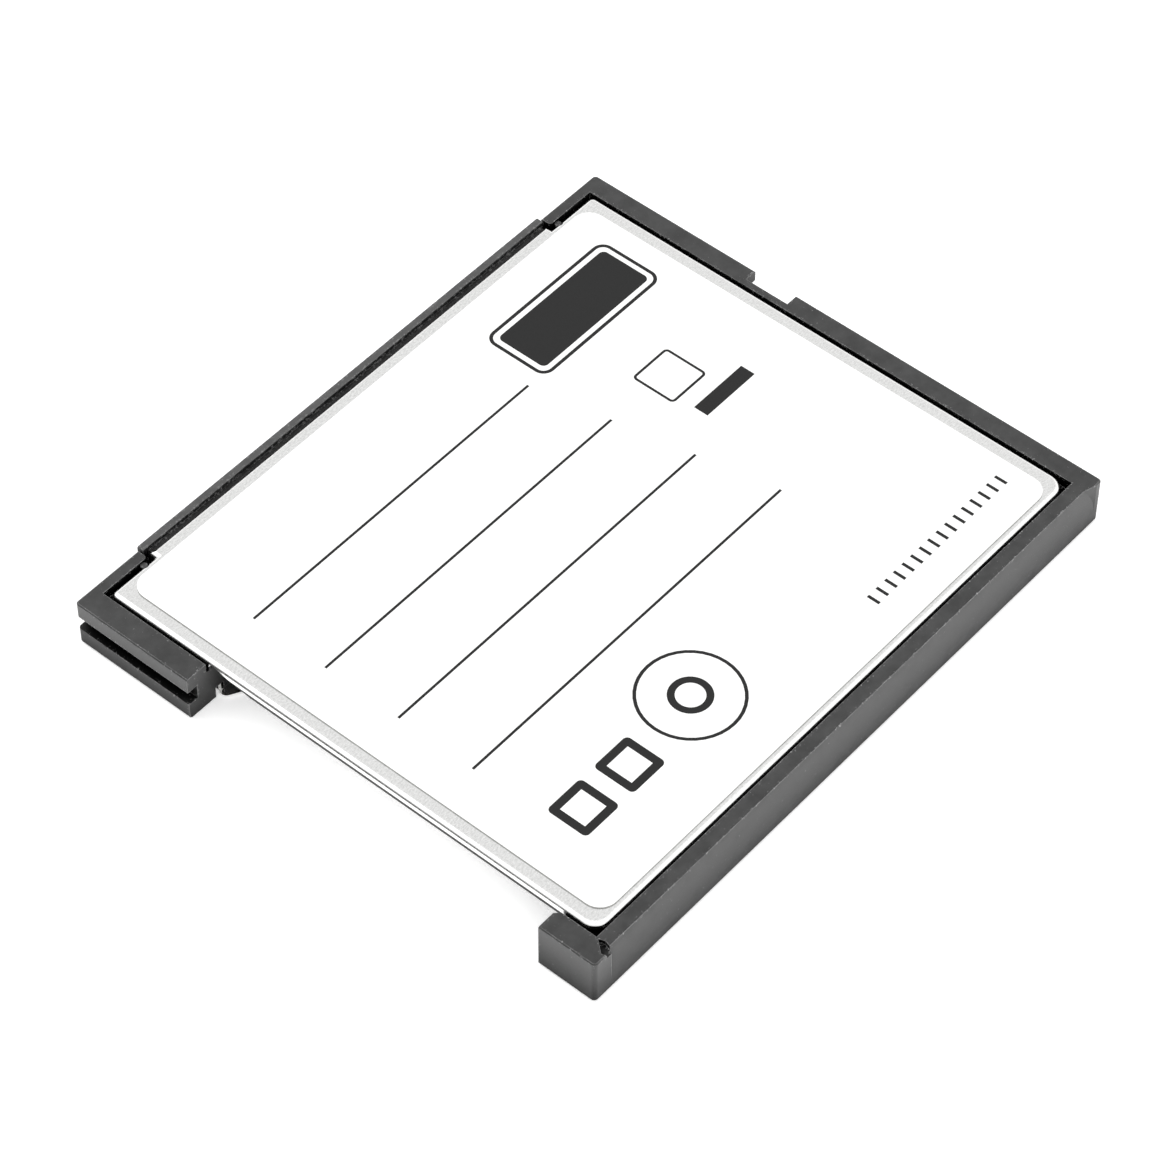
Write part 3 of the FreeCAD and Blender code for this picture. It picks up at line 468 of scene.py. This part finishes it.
class Surface(Enum):
    """The finishes of the adapter, each named for its substance and how it was made."""

    # Moulded finishes carry painted shade in recesses and near the floor; worn ones also have pale
    # edges, partly a painted highlight.
    FRAME = MouldedPlastic("black_moulded_pbt", "343434", 0.36, wear_and_highlight=0.8)
    SOCKET = MouldedPlastic("black_moulded_lcp", "4a4a4a", 0.5, grain=0.16, grain_depth=0.01,
                            wear_and_highlight=0.35, nick_from=0.64)
    CARRIER = MouldedPlastic("dark_moulded_lcp", "2c2c2c", 0.5, grain=0.16)
    # Painted shadow on the upper cover's lip below its bend; painted shade on the lower cover in the
    # gaps.
    UPPER_STEEL = RolledSteel("upper_rolled_stainless", "f2f2f1", 0.18, dark_to=2.82)
    LOWER_STEEL = RolledSteel("lower_rolled_stainless", "f2f2f1", 0.18, dark_from=1.2,
                              dark_to=3.3)
    PAPER = CoatedPaper("coated_label_paper", "fbfbfa", 0.62)
    INK = PrintedInk("black_label_ink", "161616", 0.6)
    BRONZE = PlatedMetal("gold_flashed_bronze", "d9b46a", 0.24)
    LAMINATE = Mottled("green_solder_mask", "0f4a2c", 0.35, second_colour="166238", mottle=0.5)
    COMPOUND = Mottled("mould_compound", "242426", 0.55, second_colour="303032", mottle=0.12)
    LIDDED = Mottled("nickel_lidded_ceramic", "c9c4b8", 0.3, second_colour="bdb7a8",
                     mottle=0.2, metallic=0.8)
    CERAMIC = Mottled("tan_fired_ceramic", "a5876a", 0.45, second_colour="97795c", mottle=0.15)
    GLAZE = Mottled("black_glazed_alumina", "2a2a2e", 0.35, second_colour="38383c", mottle=0.15)
    FILM = Mottled("amber_polyimide_film", "b4702a", 0.25, second_colour="a86524", mottle=0.8)


class Palette:
    """Makes each finish once and hands it out."""

    def __init__(self) -> None:
        """Starts with no finish made."""
        self.made: dict[Surface, Material] = {}

    def get(self, surface: Surface) -> Material:
        """The material of a finish, made at its first use."""
        if surface not in self.made:
            self.made[surface] = surface.value.build()
        return self.made[surface]


def dress_nodes(names: Iterable[str], surface: Surface, palette: Palette) -> None:
    """Gives carried-over solids their finish.

    Args:
        names: Names of the solids' nodes.
        surface: The finish for all of them.
        palette: Where the material comes from.
    """
    for name in names:
        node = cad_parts[name]
        for slot in node.material_slots:
            slot.material = palette.get(surface)
        log.info("%s dressed in %s", name, surface.value.name)


def make_piece(name: str, shape: bmesh.types.BMesh, surface: Surface,
               palette: Palette) -> Piece:
    """Turns a finished bmesh into a piece that rides on the body.

    Args:
        name: The piece's name.
        shape: Its mesh, in metres and in place.
        surface: Its finish.
        palette: Where the material comes from.

    Returns:
        The new object, with its origin at the row frame's.
    """
    bmesh.ops.recalc_face_normals(shape, faces=shape.faces[:])
    mesh = bpy.data.meshes.new(name)
    shape.to_mesh(mesh)
    shape.free()
    piece = bpy.data.objects.new(name, mesh)
    bpy.context.scene.collection.objects.link(piece)
    mesh.materials.append(palette.get(surface))
    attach(piece, "root")
    log.info("%s made with %d faces", name, len(mesh.polygons))
    return piece


@dataclass(frozen=True)
class Field:
    """A printed field on the label, in millimetres from the body's centre."""

    name: str
    left: float
    right: float
    rear: float
    front: float
    corner: float = 0.0
    stroke: float = 0.0


@dataclass(frozen=True)
class LabelPrint:
    """The ink on the blank label: lines to write on and plain fields."""

    ink: float = 0.005
    line_stroke: float = 0.16
    line_left: float = -16.05
    line_front: float = 10.15
    line_pitch: float = 5.17
    line_right: float = 6.2
    line_step: float = 1.04
    line_count: int = 4
    tick_left: float = 6.35
    tick_pitch: float = 0.75
    tick_stroke: float = 0.2
    tick_rear: float = -14.5
    tick_front: float = -13.7
    tick_count: int = 16
    rounding: int = 10
    fields: tuple[Field, ...] = (
        Field("title_outline", 7.25, 17.47, 9.75, 14.3, corner=0.75, stroke=0.22),
        Field("title_panel", 7.8, 16.95, 10.28, 13.75, corner=0.35),
        Field("square_outline", 10.4, 13.4, 3.1, 6.1, corner=0.3, stroke=0.16),
        Field("marker_bar", 10.94, 15.08, 1.07, 2.04),
        Field("tick_box_left", -15.6, -12.9, -12.75, -10.05, corner=0.3, stroke=0.5),
        Field("tick_box_right", -11.9, -9.2, -12.75, -10.05, corner=0.3, stroke=0.5),
        Field("round_outline", -8.0, -1.9, -13.9, -7.8, corner=3.04, stroke=0.2),
        Field("round_dot", -6.2, -3.7, -12.1, -9.6, corner=1.24, stroke=0.42),
    )

    def panel(self, shape: bmesh.types.BMesh, field: Field, inset: float, top: float) -> Face:
        """One flat face with rounded corners.

        Args:
            shape: The mesh that gets it.
            field: Its place and corner radius.
            inset: How far inside the field's edge it ends, in millimetres.
            top: Height of the paper's face, in metres.

        Returns:
            The face, whose boundary has the same number of edges for any inset.
        """
        square = bmesh.ops.create_grid(shape, x_segments=1, y_segments=1, size=0.5)["verts"]
        middle = Vector((mm(field.left + field.right) / 2, mm(field.rear + field.front) / 2, top))
        size = Matrix.Diagonal((mm(field.right - field.left - 2 * inset),
                                mm(field.front - field.rear - 2 * inset), 1.0, 1.0))
        bmesh.ops.transform(shape, matrix=Matrix.Translation(middle) @ size, verts=square)
        face = square[0].link_faces[0]
        if field.corner > inset:
            rounded = bmesh.ops.bevel(shape, geom=square, offset=mm(field.corner - inset),
                                      affect="VERTICES", segments=self.rounding, profile=0.5,
                                      material=-1)
            face = rounded["verts"][0].link_faces[0]
        return face

    def printed(self, fields: Iterable[Field], top: float) -> bmesh.types.BMesh:
        """The ink of some fields: solid panels, or outlines where they have a stroke.

        Args:
            fields: Their places, corner radii and strokes.
            top: Height of the paper's face, in metres.

        Returns:
            A thin mesh on the paper, closed round each field.
        """
        shape = bmesh.new()
        for field in fields:
            outer = self.panel(shape, field, 0.0, top)
            if field.stroke > 0:
                inner = self.panel(shape, field, field.stroke, top)
                edges = list(outer.edges) + list(inner.edges)
                bmesh.ops.delete(shape, geom=[outer, inner], context="FACES_ONLY")
                bmesh.ops.bridge_loops(shape, edges=edges)
        raised = bmesh.ops.extrude_face_region(shape, geom=shape.faces[:])
        lifted = [v for v in raised["geom"] if isinstance(v, bmesh.types.BMVert)]
        bmesh.ops.translate(shape, vec=Vector((0.0, 0.0, mm(self.ink))), verts=lifted)
        return shape

    def writing_lines(self) -> list[Field]:
        """The lines to write on, each a little longer than the one in front of it."""
        lines = []
        for step in range(self.line_count):
            front = self.line_front - step * self.line_pitch
            lines.append(Field("writing_line_%d" % (step + 1), self.line_left,
                               self.line_right + step * self.line_step,
                               front - self.line_stroke, front))
        return lines

    def tick_row(self) -> list[Field]:
        """A row of short ticks along the rear edge, as on a ruler."""
        ticks = []
        for step in range(self.tick_count):
            left = self.tick_left + step * self.tick_pitch
            ticks.append(Field("tick", left, left + self.tick_stroke, self.tick_rear,
                               self.tick_front))
        return ticks

    def build(self, palette: Palette) -> list[Piece]:
        """Prints every line, field and tick on the label.

        Args:
            palette: Where the ink comes from.

        Returns:
            The printed pieces.
        """
        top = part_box("blank_label")[1][2]
        groups = {field.name: [field] for field in self.writing_lines() + list(self.fields)}
        groups["tick_row"] = self.tick_row()
        return [make_piece("label_" + name, self.printed(fields, top), Surface.INK,
                           palette)
                for name, fields in groups.items()]


@dataclass(frozen=True)
class Housing:
    """The moulded frame between its two pressed covers, with the label."""

    def build(self, palette: Palette) -> None:
        """Dresses the outside of the adapter."""
        dress_nodes(["frame"], Surface.FRAME, palette)
        dress_nodes(["label_side_cover"], Surface.UPPER_STEEL, palette)
        dress_nodes(["underside_cover"], Surface.LOWER_STEEL, palette)
        dress_nodes(["blank_label"], Surface.PAPER, palette)


@dataclass(frozen=True)
class HostSocket:
    """The 50-way socket along the front edge, with its two rows of fork contacts."""

    rows: tuple[str, ...] = ("socket_contacts_upper", "socket_contacts_lower")

    def build(self, palette: Palette) -> None:
        """Dresses the socket and its contacts."""
        dress_nodes(["socket_housing"], Surface.SOCKET, palette)
        dress_nodes(self.rows, Surface.BRONZE, palette)


@dataclass(frozen=True)
class CardReader:
    """The bay's carrier, its bent spring contacts and the two switches."""

    contact_count: int = 9

    def build(self, palette: Palette) -> None:
        """Dresses what meets the small card."""
        springs = ["card_contact_%d" % (number + 1) for number in range(self.contact_count)]
        switches = [name + kind for name in ("write_protect", "card_detect")
                    for kind in ("_spring", "_contact")]
        dress_nodes(["contact_carrier"], Surface.CARRIER, palette)
        dress_nodes(springs + switches, Surface.BRONZE, palette)


@dataclass(frozen=True)
class Electronics:
    """The circuit board, what is soldered to it, and the insulating films."""

    films: tuple[str, ...] = ("upper_insulating_film", "lower_insulating_film")

    def build(self, palette: Palette) -> None:
        """Dresses the board and its parts."""
        dress_nodes(["circuit_board"], Surface.LAMINATE, palette)
        dress_nodes(["controller_chip", "voltage_regulator"], Surface.COMPOUND, palette)
        dress_nodes(["clock_crystal"], Surface.LIDDED, palette)
        dress_nodes(["bulk_capacitors", "bypass_capacitors"], Surface.CERAMIC, palette)
        dress_nodes(["chip_resistors"], Surface.GLAZE, palette)
        dress_nodes(self.films, Surface.FILM, palette)


@dataclass(frozen=True)
class Viewpoint:
    """The camera at the photograph's place. Lengths are in millimetres, angles in degrees."""

    target: tuple[float, float, float] = (-2.81, -1.97, 3.2)
    bearing: float = -139.83
    elevation: float = 49.77
    distance: float = 235.05
    roll: float = -0.36
    lens: float = 134.61
    sensor: float = 36.0
    nearest: float = 5.0
    farthest: float = 20000.0

    def build(self) -> Piece:
        """Makes the camera and the scene's use of it.

        Returns:
            The camera object.
        """
        bearing = math.radians(self.bearing)
        elevation = math.radians(self.elevation)
        away = Vector((math.cos(elevation) * math.cos(bearing),
                       math.cos(elevation) * math.sin(bearing), math.sin(elevation)))
        target = Vector(mm(value) for value in self.target)
        turn = away.to_track_quat("Z", "Y").to_matrix().to_4x4()
        lean = Matrix.Rotation(math.radians(-self.roll), 4, "Z")
        data = bpy.data.cameras.new("photo_view")
        data.lens = self.lens
        data.sensor_width = self.sensor
        data.sensor_height = self.sensor
        data.sensor_fit = "AUTO"
        data.clip_start = mm(self.nearest)
        data.clip_end = mm(self.farthest)
        camera = bpy.data.objects.new("photo_view", data)
        camera.matrix_world = Matrix.Translation(target + away * mm(self.distance)) @ turn @ lean
        bpy.context.scene.collection.objects.link(camera)
        bpy.context.scene.camera = camera
        return camera


@dataclass(frozen=True)
class Lamp:
    """One softbox, by where it stands, in metres, its side and its power in watts."""

    name: str
    place: tuple[float, float, float]
    side: float
    power: float


@dataclass(frozen=True)
class Studio:
    """A pale floor under soft light from all round, with two softboxes.

    One part of the sky is a little dimmer, and a dark band stands low on the card slot's side, as
    a photographer's flag does. Both are placed by the cosine to a direction, and the band also by
    the sine of its height. The floor glows, so that it is white. It lies a little under the part,
    by floor_drop in millimetres, and floor_side is in metres.
    """

    floor_side: float = 12.0
    floor_drop: float = 0.02
    floor_colour: str = "f7f7f7"
    floor_roughness: float = 0.9
    floor_glow: float = 0.42
    sky_bright: float = 1.2
    sky_dim: float = 0.86
    dim_side: tuple[float, float, float] = (0.493, 0.417, 0.763)
    dim_edge: float = 0.80
    dim_core: float = 0.96
    under_level: float = 0.7
    under_edge: float = -0.05
    flag_level: float = 0.0
    flag_from: float = 0.10
    flag_full: float = 0.18
    flag_fade: float = 0.26
    flag_to: float = 0.62
    flag_side: tuple[float, float, float] = (-1.0, 0.0, 0.0)
    flag_end: float = 0.3
    flag_start: float = 0.6
    lamps: tuple[Lamp, ...] = (
        Lamp("key_softbox", (-0.5, 0.9, 1.1), 0.9, 4.0),
        Lamp("low_softbox", (0.45, -0.75, 0.14), 0.25, 1.6),
    )

    def floor(self) -> Piece:
        """Makes the floor that the adapter lies on.

        Returns:
            The floor's object.
        """
        shape = bmesh.new()
        bmesh.ops.create_grid(shape, x_segments=1, y_segments=1, size=self.floor_side / 2)
        mesh = bpy.data.meshes.new("pale_floor")
        shape.to_mesh(mesh)
        shape.free()
        floor = bpy.data.objects.new("pale_floor", mesh)
        floor.location.z = -mm(self.floor_drop)
        bpy.context.scene.collection.objects.link(floor)
        material = bpy.data.materials.new("matt_white_board")
        material.use_nodes = True
        shader = material.node_tree.nodes["Principled BSDF"]
        shader.inputs["Base Color"].default_value = linear(self.floor_colour)
        shader.inputs["Roughness"].default_value = self.floor_roughness
        shader.inputs["Specular IOR Level"].default_value = 0.0
        shader.inputs["Emission Color"].default_value = linear("ffffff")
        shader.inputs["Emission Strength"].default_value = self.floor_glow
        mesh.materials.append(material)
        return floor

    def dimmed(self, tree: Tree, ray: Socket) -> Socket:
        """The sky's brightness, with one side of it dimmer than the rest.

        Args:
            tree: The world's node tree.
            ray: The direction that is looked up in the sky.

        Returns:
            A value socket.
        """
        facing = add_node(tree, "ShaderNodeVectorMath",
                          {"operation": "DOT_PRODUCT", 1: Vector(self.dim_side).normalized()},
                          {0: ray}).outputs["Value"]
        return add_node(tree, "ShaderNodeMapRange",
                        {"interpolation_type": "SMOOTHSTEP", "From Min": self.dim_edge,
                         "From Max": self.dim_core, "To Min": self.sky_bright,
                         "To Max": self.sky_dim}, {"Value": facing}).outputs["Result"]

    def flagged(self, tree: Tree, ray: Socket, height: Socket) -> Socket:
        """How much of the sky the flag on the slot's side lets through: all, except in its band.

        Args:
            tree: The world's node tree.
            ray: The direction that is looked up in the sky.
            height: That direction's upward part.

        Returns:
            A value socket.
        """
        under = add_node(tree, "ShaderNodeMapRange",
                         {"interpolation_type": "SMOOTHSTEP", "From Min": self.flag_from,
                          "From Max": self.flag_full, "To Min": 1.0, "To Max": self.flag_level},
                         {"Value": height}).outputs["Result"]
        over = add_node(tree, "ShaderNodeMapRange",
                        {"interpolation_type": "SMOOTHSTEP", "From Min": self.flag_fade,
                         "From Max": self.flag_to, "To Min": self.flag_level, "To Max": 1.0},
                        {"Value": height}).outputs["Result"]
        past = add_node(tree, "ShaderNodeMath", {"operation": "MAXIMUM"},
                        {0: under, 1: over}).outputs["Value"]
        beside = add_node(tree, "ShaderNodeVectorMath",
                          {"operation": "DOT_PRODUCT", 1: self.flag_side},
                          {0: ray}).outputs["Value"]
        reach = add_node(tree, "ShaderNodeMapRange",
                         {"interpolation_type": "SMOOTHSTEP", "From Min": self.flag_end,
                          "From Max": self.flag_start}, {"Value": beside}).outputs["Result"]
        return add_node(tree, "ShaderNodeMapRange", {"To Min": 1.0},
                        {"Value": reach, "To Max": past}).outputs["Result"]

    def sky(self) -> None:
        """Surrounds the scene with white light: dimmed, flagged, and weaker from below."""
        world = bpy.data.worlds.new("white_room")
        world.use_nodes = True
        tree = world.node_tree
        back = tree.nodes["Background"]
        ray = add_node(tree, "ShaderNodeTexCoord").outputs["Generated"]
        height = add_node(tree, "ShaderNodeSeparateXYZ", {}, {"Vector": ray}).outputs["Z"]
        ground = add_node(tree, "ShaderNodeMapRange",
                          {"From Min": self.under_edge, "From Max": 0.0,
                           "To Min": self.under_level}, {"Value": height}).outputs["Result"]
        open_sky = add_node(tree, "ShaderNodeMath", {"operation": "MULTIPLY"},
                            {0: self.flagged(tree, ray, height), 1: ground}).outputs["Value"]
        strength = add_node(tree, "ShaderNodeMath", {"operation": "MULTIPLY"},
                            {0: self.dimmed(tree, ray), 1: open_sky}).outputs["Value"]
        back.inputs["Color"].default_value = linear("ffffff")
        tree.links.new(strength, back.inputs["Strength"])
        bpy.context.scene.world = world

    def softboxes(self) -> None:
        """Hangs the lamps, each turned to the adapter."""
        for lamp in self.lamps:
            data = bpy.data.lights.new(lamp.name, "AREA")
            data.size = lamp.side
            data.energy = lamp.power
            source = bpy.data.objects.new(lamp.name, data)
            place = Vector(lamp.place)
            turn = place.to_track_quat("Z", "Y").to_matrix().to_4x4()
            source.matrix_world = Matrix.Translation(place) @ turn
            bpy.context.scene.collection.objects.link(source)

    def build(self) -> None:
        """Sets the floor, the light and how the picture is developed."""
        self.floor()
        self.sky()
        self.softboxes()
        bpy.context.scene.view_settings.view_transform = "Standard"
        bpy.context.scene.view_settings.look = "None"


def main() -> None:
    """Builds the scene in order and reports each piece."""
    logging.basicConfig(level=logging.INFO, format="%(name)s: %(message)s")
    palette = Palette()
    Viewpoint().build()
    Studio().build()
    Housing().build(palette)
    HostSocket().build(palette)
    CardReader().build(palette)
    Electronics().build(palette)
    LabelPrint().build(palette)


if __name__ == "__main__":
    main()
